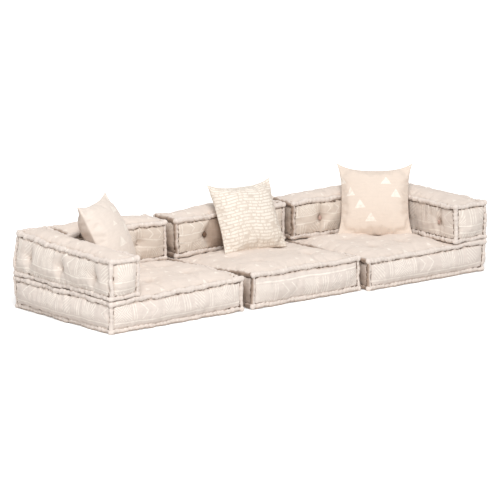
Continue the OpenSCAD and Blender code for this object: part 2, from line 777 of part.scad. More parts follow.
seat_left_cover();
seat_left_core();
seat_left_rolled_edges();
seat_left_tufts();
seat_left_ties();
seat_middle_cover();
seat_middle_core();
seat_middle_rolled_edges();
seat_middle_tufts();
seat_middle_ties();
seat_right_cover();
seat_right_core();
seat_right_rolled_edges();
seat_right_tufts();
seat_right_ties();
back_left_cover();
back_left_core();
back_left_rolled_edges();
back_left_tufts();
back_left_ties();
back_middle_cover();
back_middle_core();
back_middle_rolled_edges();
back_middle_tufts();
back_middle_ties();
back_right_cover();
back_right_core();
back_right_rolled_edges();
back_right_tufts();
back_right_ties();
arm_left_cover();
arm_left_core();
arm_left_rolled_edges();
arm_left_tufts();
arm_left_ties();
arm_right_cover();
arm_right_core();
arm_right_rolled_edges();
arm_right_tufts();
arm_right_ties();
pillow_left_cover();
pillow_left_insert();
pillow_left_zip();
pillow_middle_cover();
pillow_middle_insert();
pillow_middle_zip();
pillow_right_cover();
pillow_right_insert();
pillow_right_zip();
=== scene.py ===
# %% [markdown]
# # A modular sofa bed of tufted mattress cushions
# The sofa is laid on the floor without any frame. Three thick seat mattresses stand in a row, loose
# bolsters lie on their rear and outer edges, and three throw pillows lean in it. This lesson is
# about soft things: panels that swell between their seams, edges rolled and stitched by hand, tufts
# and a faint print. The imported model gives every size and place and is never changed.

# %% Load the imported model
import json
import math
from itertools import product

import bmesh
import bpy
import numpy as np
from mathutils import Matrix, Vector

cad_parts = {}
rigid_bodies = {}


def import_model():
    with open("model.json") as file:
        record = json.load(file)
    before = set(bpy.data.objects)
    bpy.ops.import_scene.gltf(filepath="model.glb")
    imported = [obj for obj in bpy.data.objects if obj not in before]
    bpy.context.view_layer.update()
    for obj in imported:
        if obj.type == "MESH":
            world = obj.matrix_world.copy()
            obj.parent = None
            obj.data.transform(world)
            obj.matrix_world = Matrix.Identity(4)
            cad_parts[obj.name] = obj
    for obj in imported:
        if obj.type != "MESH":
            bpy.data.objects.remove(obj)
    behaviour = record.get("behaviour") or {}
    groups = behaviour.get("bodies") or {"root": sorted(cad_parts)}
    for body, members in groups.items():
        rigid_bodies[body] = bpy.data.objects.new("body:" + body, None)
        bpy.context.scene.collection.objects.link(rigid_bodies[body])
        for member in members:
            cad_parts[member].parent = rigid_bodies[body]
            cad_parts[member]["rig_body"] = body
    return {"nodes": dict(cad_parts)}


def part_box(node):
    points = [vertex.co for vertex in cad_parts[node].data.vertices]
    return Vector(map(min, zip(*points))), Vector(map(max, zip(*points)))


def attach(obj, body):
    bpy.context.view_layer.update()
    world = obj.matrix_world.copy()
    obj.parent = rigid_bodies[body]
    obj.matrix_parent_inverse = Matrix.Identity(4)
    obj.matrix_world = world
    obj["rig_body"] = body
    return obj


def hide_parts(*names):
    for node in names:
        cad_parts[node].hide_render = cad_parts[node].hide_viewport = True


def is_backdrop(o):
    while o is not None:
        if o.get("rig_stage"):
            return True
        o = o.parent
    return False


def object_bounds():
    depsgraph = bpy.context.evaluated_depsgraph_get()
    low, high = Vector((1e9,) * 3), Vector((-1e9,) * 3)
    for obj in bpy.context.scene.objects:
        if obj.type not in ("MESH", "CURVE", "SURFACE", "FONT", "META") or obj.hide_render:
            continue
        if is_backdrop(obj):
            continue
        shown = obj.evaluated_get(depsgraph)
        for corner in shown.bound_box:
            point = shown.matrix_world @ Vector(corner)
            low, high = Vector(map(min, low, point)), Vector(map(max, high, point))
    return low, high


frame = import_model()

cad_low, cad_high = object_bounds()
nodes = frame["nodes"]
chance = np.random.default_rng(20)
print("sofa", [round(v, 3) for v in cad_high - cad_low], "metres,", len(nodes), "pieces")

# %% [markdown]
# ## Camera
# The sofa is seen from far off through a long lens, so parallel edges stay almost parallel. The
# camera's place, turn and tilt were worked out from the corners of the cushions.

# %% Camera
def set_up(name, data, place, looking):
    thing = bpy.data.objects.new(name, data)
    thing.location = place
    thing.rotation_mode = "QUATERNION"
    thing.rotation_quaternion = looking.to_track_quat("-Z", "Y")
    bpy.context.scene.collection.objects.link(thing)
    return thing


turn, tilt = math.radians(39.07), math.radians(11.94)
looking = Vector((math.sin(turn) * math.cos(tilt), math.cos(turn) * math.cos(tilt), -math.sin(tilt)))
lens = bpy.data.cameras.new("long_lens")
lens.lens, lens.sensor_width, lens.clip_end = 299.95, 36.0, 200.0
camera = set_up("camera", lens, (-13.529, -16.627, 4.743), looking)
bpy.context.scene.camera = camera
bpy.context.scene.view_settings.view_transform = "Standard"
print("camera at", tuple(camera.location))

# %% [markdown]
# ## Nodes and colours
# Colours are hex values, turned to the linear ones that shaders use. One small function adds a node
# with its settings and links. A longer sum is written as text and gets a Math node for each step: the
# name of its result, what is done, and what it is done to.

# %% Helpers for materials
def colour(hex_value):
    parts = [int(hex_value[i:i + 2], 16) / 255 for i in (1, 3, 5)]
    return tuple(p / 12.92 if p <= 0.04045 else ((p + 0.055) / 1.055) ** 2.4 for p in parts) + (1.0,)


def add(tree, kind, inputs=None, **settings):
    node = tree.nodes.new(kind)
    for name, value in settings.items():
        setattr(node, name, value)
    for name, value in (inputs or {}).items():
        if isinstance(value, bpy.types.NodeSocket):
            tree.links.new(value, node.inputs[name])
        else:
            node.inputs[name].default_value = value
    return node


def empty_tree(owner):
    """The nodes of a material or of the world, with nothing in them yet."""
    owner.use_nodes = True
    owner.node_tree.nodes.clear()
    return owner.node_tree


def work_out(tree, values, steps):
    for step in steps.split(";"):
        name, operation, *parts = step.split()
        inputs = {i: values[p] if p in values else float(p) for i, p in enumerate(parts)}
        values[name] = add(tree, "ShaderNodeMath", inputs, operation=operation).outputs[0]
    return values


# %% [markdown]
# ## Floor, light and background
# The world lights the sofa evenly from all round, and one large soft lamp beside the camera gives
# the cushions their form. It hangs far off, so that it lights both ends of the row alike. The white
# behind comes from the world and the floor, but only where the camera or a reflection looks at
# them, so it adds no light to the sofa. The floor glows least near the sofa, where its shadow has
# to show.

# %% Studio
def seen_directly(tree):
    """1 for rays of the camera or a reflection, 0 for those that light the sofa."""
    ray = add(tree, "ShaderNodeLightPath").outputs
    values = {kind: ray[f"Is {kind} Ray"] for kind in ("Camera", "Glossy", "Transmission")}
    return work_out(tree, values, "either MAXIMUM Camera Glossy; seen MAXIMUM either Transmission")["seen"]


WHITE = (1, 1, 1, 1)
world = bpy.data.worlds.new("studio")
bpy.context.scene.world = world
sky = empty_tree(world)
even = add(sky, "ShaderNodeBackground", {"Color": WHITE, "Strength": 0.54})
white = add(sky, "ShaderNodeBackground", {"Color": WHITE, "Strength": 1.0})
both = add(sky, "ShaderNodeMixShader", {0: seen_directly(sky), 1: even.outputs[0], 2: white.outputs[0]})
add(sky, "ShaderNodeOutputWorld", {"Surface": both.outputs[0]})

lamp = bpy.data.lights.new("soft_box", "AREA")
lamp.shape, lamp.size, lamp.size_y, lamp.energy = "RECTANGLE", 5.0, 4.0, 1300
lamp_at = Vector((-5.0, -6.9, 9.9))
set_up("soft_box", lamp, lamp_at, Vector((0, 0, 0.2)) - lamp_at)

# %% Floor
paper = bpy.data.materials.new("white_studio_floor")
tree = empty_tree(paper)
spot = add(tree, "ShaderNodeTexCoord").outputs["Object"]
away = add(tree, "ShaderNodeVectorMath", {0: spot}, operation="LENGTH").outputs["Value"]
strength = work_out(tree, {"seen": seen_directly(tree), "away": away}, """grown MULTIPLY_ADD away 0.13 0.20;
    most MINIMUM grown 0.62; least MAXIMUM most 0.38; glow MULTIPLY seen least""")["glow"]
matt = add(tree, "ShaderNodeBsdfDiffuse", {"Color": (0.86, 0.855, 0.85, 1)})
glow = add(tree, "ShaderNodeEmission", {"Color": WHITE, "Strength": strength})
both = add(tree, "ShaderNodeAddShader", {0: matt.outputs[0], 1: glow.outputs[0]})
add(tree, "ShaderNodeOutputMaterial", {"Surface": both.outputs[0]})
bm = bmesh.new()
bmesh.ops.create_grid(bm, x_segments=1, y_segments=1, size=70)
floor_mesh = bpy.data.meshes.new("floor")
bm.to_mesh(floor_mesh)
bm.free()
floor_mesh.materials.append(paper)
floor = bpy.data.objects.new("floor", floor_mesh)
bpy.context.scene.collection.objects.link(floor)
floor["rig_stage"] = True

# %% [markdown]
# ## Printed cotton
# The covers are coarse hand-loomed cotton, about six threads to the centimetre, printed with blocks
# in an off-white pigment, which hardly changes the surface. The print is worked out from a map in
# metres: u runs along a side and v is the height above the cushion's foot. A real thread is too
# fine to show from across a room, so the weave is drawn 2.4 mm wide. Beside the rolls, in the
# pleats, at the tufts, in the gaps, under the seats and on the rear of the left pillow the cloth is
# browned and darkened: this is painted shade. The mesh attribute "hollow" says how much, and
# "gather" is 1 beside a roll and crumples the cloth more there.

# %% The weave and the finish that all the cottons share
PAINTED_SHADE_DEPTH, PAINTED_SHADE_BROWN = 0.42, "#C9AE9A"  # painted shade: how much darker a full share makes the cloth, and the brown it is mixed towards


def cotton(name, ground, make_print, print_colour="#F9F1E6", thread=0.0024, shade=0.05, strength=0.75):
    material = bpy.data.materials.new(name)
    tree = empty_tree(material)
    cloth_map = add(tree, "ShaderNodeUVMap", uv_map="cloth").outputs[0]
    here = add(tree, "ShaderNodeTexCoord").outputs["Object"]
    # The blocks were never set down quite straight
    drift = add(tree, "ShaderNodeTexNoise", {"Vector": here, "Scale": 9.0, "Detail": 2.0})
    around = add(tree, "ShaderNodeVectorMath", {0: drift.outputs["Color"], 1: (0.5, 0.5, 0.5)},
                 operation="SUBTRACT")
    shifted = add(tree, "ShaderNodeVectorMath", {0: around.outputs[0], 3: 0.012}, operation="SCALE")
    printed = add(tree, "ShaderNodeVectorMath", {0: cloth_map, 1: shifted.outputs[0]}, operation="ADD")
    print_at = add(tree, "ShaderNodeSeparateXYZ", {0: printed.outputs[0]}).outputs
    weave_at = add(tree, "ShaderNodeSeparateXYZ", {0: cloth_map}).outputs
    values = {"u": print_at[0], "v": print_at[1], "warp_at": weave_at[0], "weft_at": weave_at[1]}
    # The pigment is worn thin and skips a thread here and there, and slubs, the thick places in the
    # yarn, make the cloth look mottled
    along = add(tree, "ShaderNodeMapping", {"Vector": cloth_map, "Scale": (18.0, 95.0, 1.0)}).outputs[0]
    for value, at, scale, detail in [("worn", cloth_map, 70.0, 4.0), ("patchy", here, 7.0, 1.0),
                                     ("cloudy", here, 3.2, 3.0), ("slubs", along, 1.0, 3.0),
                                     ("crumple", here, 16.0, 4.0), ("tucks", here, 42.0, 2.0)]:
        noise = add(tree, "ShaderNodeTexNoise", {"Vector": at, "Scale": scale, "Detail": detail})
        values[value] = noise.outputs["Fac"]
    for value in ("hollow", "gather"):
        values[value] = add(tree, "ShaderNodeAttribute", attribute_name=value).outputs["Fac"]
    turns = 2 * math.pi / thread
    work_out(tree, values, f"""warp MULTIPLY warp_at {turns}; weft MULTIPLY weft_at {turns};
        warp_rise SINE warp; weft_rise SINE weft; over MULTIPLY warp_rise weft_rise""")
    make_print(tree, values)
    work_out(tree, values, f"""kept MULTIPLY_ADD worn 3.2 -0.9; kept_less MULTIPLY_ADD patchy 1.5 kept;
        held SUBTRACT kept_less 0.55; held_most MINIMUM held 1; thick MAXIMUM held_most 0.2;
        print_least MAXIMUM print 0; print_most MINIMUM print_least 1; inked MULTIPLY print_most thick;
        ink MULTIPLY inked {strength}; clouds MULTIPLY_ADD cloudy {2 * shade} {1 - shade};
        slub_tone MULTIPLY_ADD slubs 0.10 clouds; slub_even SUBTRACT slub_tone 0.05;
        thread_tone MULTIPLY_ADD over 0.02 slub_even; dusk MULTIPLY_ADD hollow {-PAINTED_SHADE_DEPTH} 1;
        tone MULTIPLY thread_tone dusk; tucked MULTIPLY tucks gather;
        crumpled MULTIPLY_ADD tucked 1.1 crumple""")
    # Painted shade: where "hollow" is set, the cloth is mixed towards a brown and "dusk" darkens it
    base = add(tree, "ShaderNodeMix", {0: values["ink"], 6: colour(ground), 7: colour(print_colour)},
               data_type="RGBA")
    shade_browned = add(tree, "ShaderNodeMix", {0: values["hollow"], 6: base.outputs[2], 7: colour(PAINTED_SHADE_BROWN)},
                data_type="RGBA")
    lit = add(tree, "ShaderNodeVectorMath", {0: shade_browned.outputs[2], 3: values["tone"]}, operation="SCALE")
    weave = add(tree, "ShaderNodeBump", {"Height": values["over"], "Distance": 0.0004, "Strength": 0.5})
    folds = add(tree, "ShaderNodeBump", {"Height": values["crumpled"], "Distance": 0.012, "Strength": 0.6,
                                         "Normal": weave.outputs[0]})
    finish = add(tree, "ShaderNodeBsdfPrincipled", {
        "Base Color": lit.outputs[0], "Roughness": 0.92, "Sheen Weight": 0.12, "Sheen Roughness": 0.5,
        "Specular IOR Level": 0.2, "Normal": folds.outputs[0]})
    add(tree, "ShaderNodeOutputMaterial", {"Surface": finish.outputs[0]})
    return material


# %% [markdown]
# ## The border print on the sides
# The sides carry a common woven-border design in one or two bands, with lines between them. The
# repeat is 640 mm long and each line about 6 mm wide. A motif is a path that is folded to and fro
# (PINGPONG) at the spacing of its lines, and a line is drawn where the fold comes near zero. Its
# flanks are soft, because the pigment bleeds into the yarn.

# %% Border print
SOFT, RAY_SOFT = 0.0016, 1 / 36  # the flank of a line in metres, and of a ray in radians
MOTIFS = {  # its middle in the repeat, its path, the spacing, half a line's width, its flank, where it is
    "chevrons": (0.110, "slant SUBTRACT side up; path ABSOLUTE slant", 0.0070, 0.0026, SOFT,
                 "LESS_THAN side 0.056"),
    "their frame": (0.110, "path ADD side 0", 0.0070, 0.0024, SOFT, "COMPARE side 0.077 0.014"),
    "arrow": (0.285, "slant ADD off up; path ADD slant 0.2", 0.030, 0.0040, SOFT, "LESS_THAN side 0.062"),
    "rays": (0.425, "turn ARCTAN2 off height; path ADD turn 3", 0.085, 1.1 * RAY_SOFT, RAY_SOFT,
             "LESS_THAN side 0.046"),
    "stripes": (0.515, "path ADD side 0", 0.0080, 0.0025, SOFT, "LESS_THAN side 0.028"),
    "strokes": (0.595, "path ADD run v", 0.0100, 0.0028, SOFT, "LESS_THAN side 0.034")}


def line_across(wave, half_width, soft=SOFT):
    return f"line MULTIPLY_ADD {wave} {-1 / soft} {half_width / soft + 0.5}"


def plain(tree, values):
    work_out(tree, values, "print MULTIPLY u 0")


def border_print(bands, line_heights):
    def make(tree, values):
        plain(tree, values)
        for middle, half, start in bands:
            work_out(tree, values, f"""at ADD u {start}; run WRAP at 0.64 0; rise SUBTRACT v {middle};
                up ABSOLUTE rise; height ADD rise {half + 0.02}; within LESS_THAN up {half}""")
            for centre, path, spacing, half_width, soft, where in MOTIFS.values():
                work_out(tree, values, f"""off SUBTRACT run {centre}; side ABSOLUTE off; {path};
                    wave PINGPONG path {spacing}; {line_across("wave", half_width, soft)};
                    most MINIMUM line 1; there {where}; drawn MULTIPLY most there;
                    framed MULTIPLY drawn within; print MAXIMUM print framed""")
        for height in line_heights:
            work_out(tree, values, f"""off SUBTRACT v {height}; side ABSOLUTE off;
                {line_across("side", 0.0030)}; print MAXIMUM print line""")
    return make


# %% [markdown]
# ## Scattered triangles
# The tops have small triangles, half worn off, and the corner pillows larger ones in slanting rows.
# Both are a lattice: a triangle is repeated along two slanting steps. The inverse of the two steps
# turns a place into a lattice cell and the rest, which is the place around that triangle. White
# Noise leaves some out. They are printed only where v lies between the two "heights" and u - v
# between the two "slants".

# %% Scattered triangles
def scattered_print(first, second, size, share, start=(0.0, 0.0), width=0.52,
                    heights=(-9.0, 9.0), slants=(-9.0, 9.0)):
    (ax, ay), (bx, by) = first, second
    area = ax * by - ay * bx
    (bottom, top), (least, most) = heights, slants

    def make(tree, values):
        work_out(tree, values, f"""x SUBTRACT u {start[0]}; y SUBTRACT v {start[1]};
            i_x MULTIPLY x {by / area}; i MULTIPLY_ADD y {-bx / area} i_x; i_cell ROUND i;
            j_x MULTIPLY x {-ay / area}; j MULTIPLY_ADD y {ax / area} j_x; j_cell ROUND j;
            i_rest SUBTRACT i i_cell; j_rest SUBTRACT j j_cell;
            x_j MULTIPLY j_rest {bx}; x_in MULTIPLY_ADD i_rest {ax} x_j; x_side ABSOLUTE x_in;
            y_j MULTIPLY j_rest {by}; y_in MULTIPLY_ADD i_rest {ay} y_j; above ADD y_in {size / 2};
            from_tip SUBTRACT {size} above; edge MULTIPLY from_tip {width}; flank SUBTRACT edge x_side;
            least MINIMUM flank above; triangle MULTIPLY least {1 / SOFT}; inside MINIMUM triangle 1""")
        cell = add(tree, "ShaderNodeCombineXYZ", {0: values["i_cell"], 1: values["j_cell"], 2: 0.5})
        luck = add(tree, "ShaderNodeTexWhiteNoise", {"Vector": cell.outputs[0]}, noise_dimensions="3D")
        values["luck"] = luck.outputs["Value"]
        work_out(tree, values, f"""chosen LESS_THAN luck {share}; u_less_v SUBTRACT u v;
            high COMPARE v {(bottom + top) / 2} {(top - bottom) / 2};
            aslant COMPARE u_less_v {(least + most) / 2} {(most - least) / 2};
            placed MULTIPLY high aslant; allowed MULTIPLY chosen placed; print MULTIPLY inside allowed""")
    return make


# %% [markdown]
# ## The dashes of the middle pillow
# The middle pillow has rows of short dashes, like a running stitch in thick soft yarn. White Noise
# starts each row at another place, and a slow wave makes some dashes long and others short.

# %% Dashed print
def dashed_print(row_step, dash_step):
    def make(tree, values):
        work_out(tree, values, f"""sag_at MULTIPLY u 31; sag SINE sag_at; sagging MULTIPLY_ADD sag 0.0035 v;
            uneven MULTIPLY_ADD patchy 0.010 sagging; row_at DIVIDE uneven {row_step}; row FLOOR row_at;
            y_in SUBTRACT row_at row""")
        luck = add(tree, "ShaderNodeTexWhiteNoise", {"W": values["row"]}, noise_dimensions="1D")
        values["luck"] = luck.outputs["Value"]
        work_out(tree, values, f"""slow MULTIPLY_ADD luck 40 row; slow_at MULTIPLY_ADD u 55 slow;
            slow_wave SINE slow_at; slow_stretch MULTIPLY_ADD slow_wave 0.016 u;
            stretched MULTIPLY_ADD worn 0.030 slow_stretch; col_at DIVIDE stretched {dash_step};
            first ADD col_at luck; x_in FRACT first; x_mid SUBTRACT x_in 0.5; x_side ABSOLUTE x_mid;
            long MULTIPLY_ADD x_side -11 4.9; long_in MINIMUM long 1;
            y_mid SUBTRACT y_in 0.5; y_side ABSOLUTE y_mid; y_worn MULTIPLY_ADD y_side -6 2.5;
            rounded MULTIPLY_ADD worn 1.2 -0.6; thick_in ADD y_worn rounded;
            print MINIMUM long_in thick_in""")
    return make


# %% [markdown]
# ## The fabrics
# Colours and prints follow the photograph: faded cotton on the mattresses, woven on the pillows.

# %% The cottons and threads of this sofa
seat_cloth = cotton("printed_cotton_seat_side", "#DFD3CA", border_print([(0.104, 0.042, 0.0)], [0.052]))
back_cloth = cotton("printed_cotton_back_side", "#E0D3C6",
                    border_print([(0.160, 0.024, 0.3), (0.048, 0.036, 0.1)], [0.131, 0.091]))
arm_cloth = cotton("printed_cotton_arm_side", "#DFD3C9",
                   border_print([(0.146, 0.044, 0.0), (0.032, 0.014, 0.2)], [0.095, 0.055]))
top_cloth = cotton("printed_cotton_top", "#E1D3C8",
                   scattered_print((0.075, -0.030), (0.040, 0.082), 0.026, 0.85), shade=0.07, strength=0.6)
rolled_cloth = cotton("printed_cotton_rolled", "#DFD3CA",
                      scattered_print((0.021, 0.004), (0.007, 0.019), 0.011, 0.6), strength=0.5)
corner_pillow_cloth = cotton(
    "woven_cotton_triangles", "#E4D4C6", shade=0.03, strength=0.8,
    make_print=scattered_print((0.057, -0.073), (0.198, 0.061), 0.050, 1.0, start=(0.261, 0.432), width=0.63,
                               heights=(0.245, 0.53), slants=(-9.0, 0.16)))
left_pillow_cloth = cotton(
    "woven_cotton_faded_triangles", "#E6D9CE", shade=0.03, strength=0.7,
    make_print=scattered_print((0.119, 0.059), (-0.015, 0.111), 0.052, 1.0, start=(0.360, 0.355), width=0.8,
                               heights=(0.325, 9.0), slants=(-0.10, 9.0)))
middle_pillow_cloth = cotton("woven_cotton_dashes", "#D9CCBE", dashed_print(0.0180, 0.044),
                             print_colour="#F5EDE2", shade=0.04, strength=0.85)
wadding = cotton("raw_cotton_wadding", "#EFE7D9", plain, shade=0.1)
thread, tuft_yarn, rosy_tuft_yarn, dark_tuft_yarn, twine, zip_cloth = (
    cotton(name, ground, plain, thread=width) for name, ground, width in [
        ("waxed_cotton_thread", "#6B5546", 0.0012), ("undyed_cotton_yarn", "#D3C4B7", 0.0016),
        ("rosy_cotton_yarn", "#BFA195", 0.0016), ("brown_yarn_darkened_as_shade", "#6F5848", 0.0016),
        ("cotton_twine", "#B59C7E", 0.0012), ("woven_zip_tape", "#D9C8B4", 0.0012)])
print(len(bpy.data.materials), "materials")

# %% [markdown]
# ## How a cushion is measured
# Every cushion is a box, and its rolled edges reach its full size. A side is named by its axis and
# its sign. The tufts are found in the model too: each knot is one loose part of its node and stands
# on the nearest side.

# %% Measure the cushions
SEATS = ["seat_left", "seat_middle", "seat_right"]
CUSHIONS = SEATS + ["back_left", "back_middle", "back_right", "arm_left", "arm_right"]
COLOURED = {"back_middle": (1, -1), "back_right": (1, -1), "arm_right": (0, -1)}  # sides with coloured tufts
KNOT_REACH = 0.035
box = {name: [Vector(corner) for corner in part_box(name + "_rolled_edges")] for name in CUSHIONS}


def others(axis):
    return [a for a in range(3) if a != axis]


def knots_of(name):
    points = np.array([v.co for v in nodes[name + "_tufts"].data.vertices])
    low, high = map(np.array, box[name])
    found = []
    while len(points):
        near = np.linalg.norm(points - points[0], axis=1) < KNOT_REACH
        low_corner, high_corner = points[near].min(0), points[near].max(0)
        centre = (low_corner + high_corner) / 2
        axis = int((high_corner - low_corner).argmin())
        sign = -1 if centre[axis] - low[axis] < high[axis] - centre[axis] else 1
        foot = float((high_corner if sign < 0 else low_corner)[axis])
        found.append({"centre": Vector(centre), "axis": axis, "sign": sign, "foot": foot,
                      "shown": COLOURED.get(name) == (axis, sign)})
        points = points[~near]
    return found


knots = {name: knots_of(name) for name in CUSHIONS}
print("knots", {name: len(found) for name, found in knots.items()})


def knots_on(name, axis, sign):
    return [knot for knot in knots[name] if (knot["axis"], knot["sign"]) == (axis, sign)]


def away_from(knot, points):
    """How far points of a panel are from a knot in it."""
    return np.linalg.norm(np.delete(points - np.array(knot["centre"]), knot["axis"], 1), axis=1)


# %% [markdown]
# ## The body of a cushion
# A bmesh cube is stretched to the cushion, cut into cells of about 13 mm and mapped. Its edges lie
# 16 mm inside the cushion's box, and the outer rows of cells are gathered there, so that the
# grooves beside the rolls come out crisp. Between two tufts the cloth hangs a little, and its
# printed lines too. The middle seat's cover was sewn upside down, so its map starts from the top.

# %% Block and map
EDGE_INSET, UNDER_ROLL, CELL = 0.016, 0.0272, 0.0130
ROWS = [0.0, 0.0075, 0.0115, 0.0170, 0.0310]  # where the outer rows of cells are drawn to
SLACK, SLACK_REACH = 0.010, 0.08


def block(low, high, cell):
    bm = bmesh.new()
    bmesh.ops.create_cube(bm, size=1, matrix=Matrix.LocRotScale((low + high) / 2, None, high - low))
    for axis in range(3):
        cuts = round((high - low)[axis] / cell) - 1
        along = [e for e in bm.edges if abs((e.verts[0].co - e.verts[1].co).normalized()[axis]) > 0.99]
        if cuts > 0:
            bmesh.ops.subdivide_edges(bm, edges=along, cuts=cuts, use_grid_fill=True)
    bm.normal_update()
    return bm


def gather_rows(bm, low, high):
    points = np.array([v.co for v in bm.verts])
    for axis in range(3):
        step = (high - low)[axis] / round((high - low)[axis] / CELL)
        from_low, from_high = points[:, axis] - low[axis], high[axis] - points[:, axis]
        near = np.minimum(from_low, from_high)
        drawn = np.interp(near, [step * n for n in range(len(ROWS) + 1)], ROWS + [step * len(ROWS)])
        near = np.where(near < step * len(ROWS), drawn, near)
        points[:, axis] = np.where(from_low < from_high, low[axis] + near, high[axis] - near)
    for vert, point in zip(bm.verts, points):
        vert.co = point


def map_cloth(bm, name, start):
    low, high = box[name]
    cloth_map = bm.loops.layers.uv.new("cloth")
    for face in bm.faces:
        axis = max(range(3), key=lambda a: abs(face.normal[a]))
        face.material_index = 1 if axis == 2 else 0
        held = [knot["centre"][1 - axis] for knot in knots_on(name, axis, round(face.normal[axis]))]
        for loop in face.loops:
            p = loop.vert.co
            if axis == 2:
                loop[cloth_map].uv = (p.x, p.y)
                continue
            away = min((abs(p[1 - axis] - h) for h in held), default=0.0)
            hang = SLACK * (1 - math.exp(-(away / SLACK_REACH) ** 2))
            height = high.z - p.z if name == "seat_middle" else p.z - low.z
            loop[cloth_map].uv = (p[1 - axis] + start, height + hang)


# %% [markdown]
# ## A little wander
# Nothing stuffed by hand is straight. A field of slow and short waves bends everything by a few
# millimetres. It depends only on the place, so that pieces that touch are bent alike, and fades out
# towards the floor. Both ends of the row bulge, because nothing holds the stuffing there, and the
# rear left corner stands higher. The seats lean together over the wide gap beside the left seat,
# which stays open only at its front, and are fuller there.

# %% Wander
SLOW, SHORT = (0.45, 0.0009), (0.11, 0.00055)  # the length of a wave and how far it pushes, in metres
WIDE_GAP = (box["seat_left"][1].x + box["seat_middle"][0].x) / 2

waves = [(chance.normal(size=3) * (2 * math.pi / length), chance.uniform(0, 6.28),
          chance.normal(size=3) * push) for length, push in [SLOW] * 7 + [SHORT] * 8]


def rising(values, start, length):
    """0 up to start, then rising to 1 over the given length."""
    return np.clip((values - start) / length, 0, 1)


def wander(points, name):
    points = np.asarray(points, float)
    shift = sum(np.sin(points @ wave + start)[:, None] * push for wave, start, push in waves)
    shift[:, 2] *= rising(points[:, 2], 0, 0.15) * 0.8
    x, y, z = points.T
    # The right end bulges, then the left end, and the rear left corner is raised
    right, left, rear = rising(x, 0.95, 0.27) ** 2, rising(-x, 0.95, 0.27) ** 2, rising(y, -0.2, 0.6)
    shift[:, 0] += 0.027 * right * np.interp(z, [0.0, 0.09, 0.18, 0.29, 0.40], [0.15, 0.7, 0.9, 1.1, 0.9])
    full = np.interp(z, [0.0, 0.09, 0.25, 0.34, 0.38], [0.5, 1.0, 1.1, 0.2, -0.3])
    shift[:, 0] -= (0.006 + 0.010 * rear) * left * full
    shift[:, 1] += 0.008 * left * rear * full
    shift[:, 2] += 0.024 * (rising(-x, 0.30, 0.65) * rising(y, 0.08, 0.30) * rising(z, 0.20, 0.18))
    # The two seats at the wide gap
    near, top = np.exp(-((x - WIDE_GAP) / 0.12) ** 2), rising(z, 0, 0.15)
    front, behind = rising(-y, 0, 0.35), rising(y, -0.1, 0.3)
    if name == "seat_left":
        shift[:, 0] += 0.017 * near
        fuller = np.interp(x, [-0.95, -0.40], [0.0, 0.022])
        shift[:, 2] += fuller * np.interp(y, [-0.39, -0.1, 0.2], [0.7, 1, 0]) * top
    elif name == "seat_middle":
        shift[:, 0] += (0.016 * front - 0.014 * behind * top) * near
        shift[:, 2] += np.interp(x, [-0.35, 0.40], [0.024, 0.015]) * front * top
    return points + shift


# %% [markdown]
# ## Turning a bmesh into a piece
# Each mesh becomes an object that rides on its cushion's body and stands for plain solids of the
# model.

# %% Finish a piece
def finish_piece(name, kind, bm, materials, slot, *replaced_kinds):
    body_name, replaced = nodes[name + "_cover"]["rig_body"], [name + k for k in replaced_kinds]
    mesh = bpy.data.meshes.new(name + kind)
    bm.to_mesh(mesh)
    bm.free()
    mesh.shade_smooth()
    for material in materials:
        mesh.materials.append(material)
    piece = bpy.data.objects.new(name + kind, mesh)
    bpy.context.scene.collection.objects.link(piece)
    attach(piece, body_name)
    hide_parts(*replaced)
    return piece


def points_of(mesh):
    points = np.empty(len(mesh.vertices) * 3, np.float32)
    mesh.vertices.foreach_get("co", points)
    return points.reshape(-1, 3).astype(float)


def put_points(mesh, points):
    mesh.vertices.foreach_set("co", np.asarray(points, np.float32).ravel())
    mesh.update()


def note(mesh, name, numbers):
    """Keeps a number for each point, where the cloth's shader finds it."""
    mesh.attributes.new(name, "FLOAT", "POINT").data.foreach_set("value", numbers.astype(np.float32))


# %% [markdown]
# ## The form of a panel
# A panel lies deep beside the rolls, rises steeply from them and then slowly to its middle. A seat
# stays flat under its bolsters, so its hill covers only the place to sit on. A side swells only where
# it has room, and beside a narrow gap it gets painted shade.

# %% The form of a panel
BANK = 0.0075  # how wide the steep bank beside a roll is
FAR, NEIGHBOUR_ROOM = 9.0, 0.025


def swell(u, fullness):
    return np.where((u <= 0) | (u >= 1), 0.0, 1 - np.abs(2 * u - 1) ** fullness)


def lying_on(seat):
    low, high = box[seat]
    return [(other_low, other_high) for other_low, other_high in box.values()
            if other_low.z > 0.1 and other_low.x > low.x - 0.01 and other_high.x < high.x + 0.01]


def sitting_area(seat):
    low, high = (list(corner) for corner in box[seat])
    for other_low, other_high in lying_on(seat):
        if other_high.y - other_low.y < 0.5:
            high[1] = other_low.y
        elif other_low.x < low[0] + 0.05:
            low[0] = other_high.x
        else:
            high[0] = other_low.x
    return low, high


def beside_rolls(name, points, axis):
    """For points of a panel: how far the next roll is, how far the panel has risen out of the groove
    there, and how much painted shade the groove gets. The stitches open it here and there."""
    low, high = box[name]
    first, second = others(axis)
    beside, risen, dark = np.full(len(points), FAR), np.ones(len(points)), np.zeros(len(points))
    for across, along in ((first, second), (second, first)):
        under = UNDER_ROLL - (0.0030 if along == 2 else 0)
        place = points[:, across]
        away = np.maximum(np.minimum(place - low[across], high[across] - place) - under, 0)
        run = points[:, along] + 0.7 * axis + 0.3 * np.sign(place - (low[across] + high[across]) / 2)
        gap = 0.5 + 0.27 * np.sin(run * 88 + 7 * low.x) + 0.23 * np.sin(run * 157 + 11 * low.y)
        beside = np.minimum(beside, away)
        risen *= 1 - (0.45 + 0.25 * gap) * np.exp(-away / BANK)
        dark = np.maximum(dark, np.exp(-(away / 0.0028) ** 2) * (0.30 + 0.5 * gap))
    return beside, risen, dark


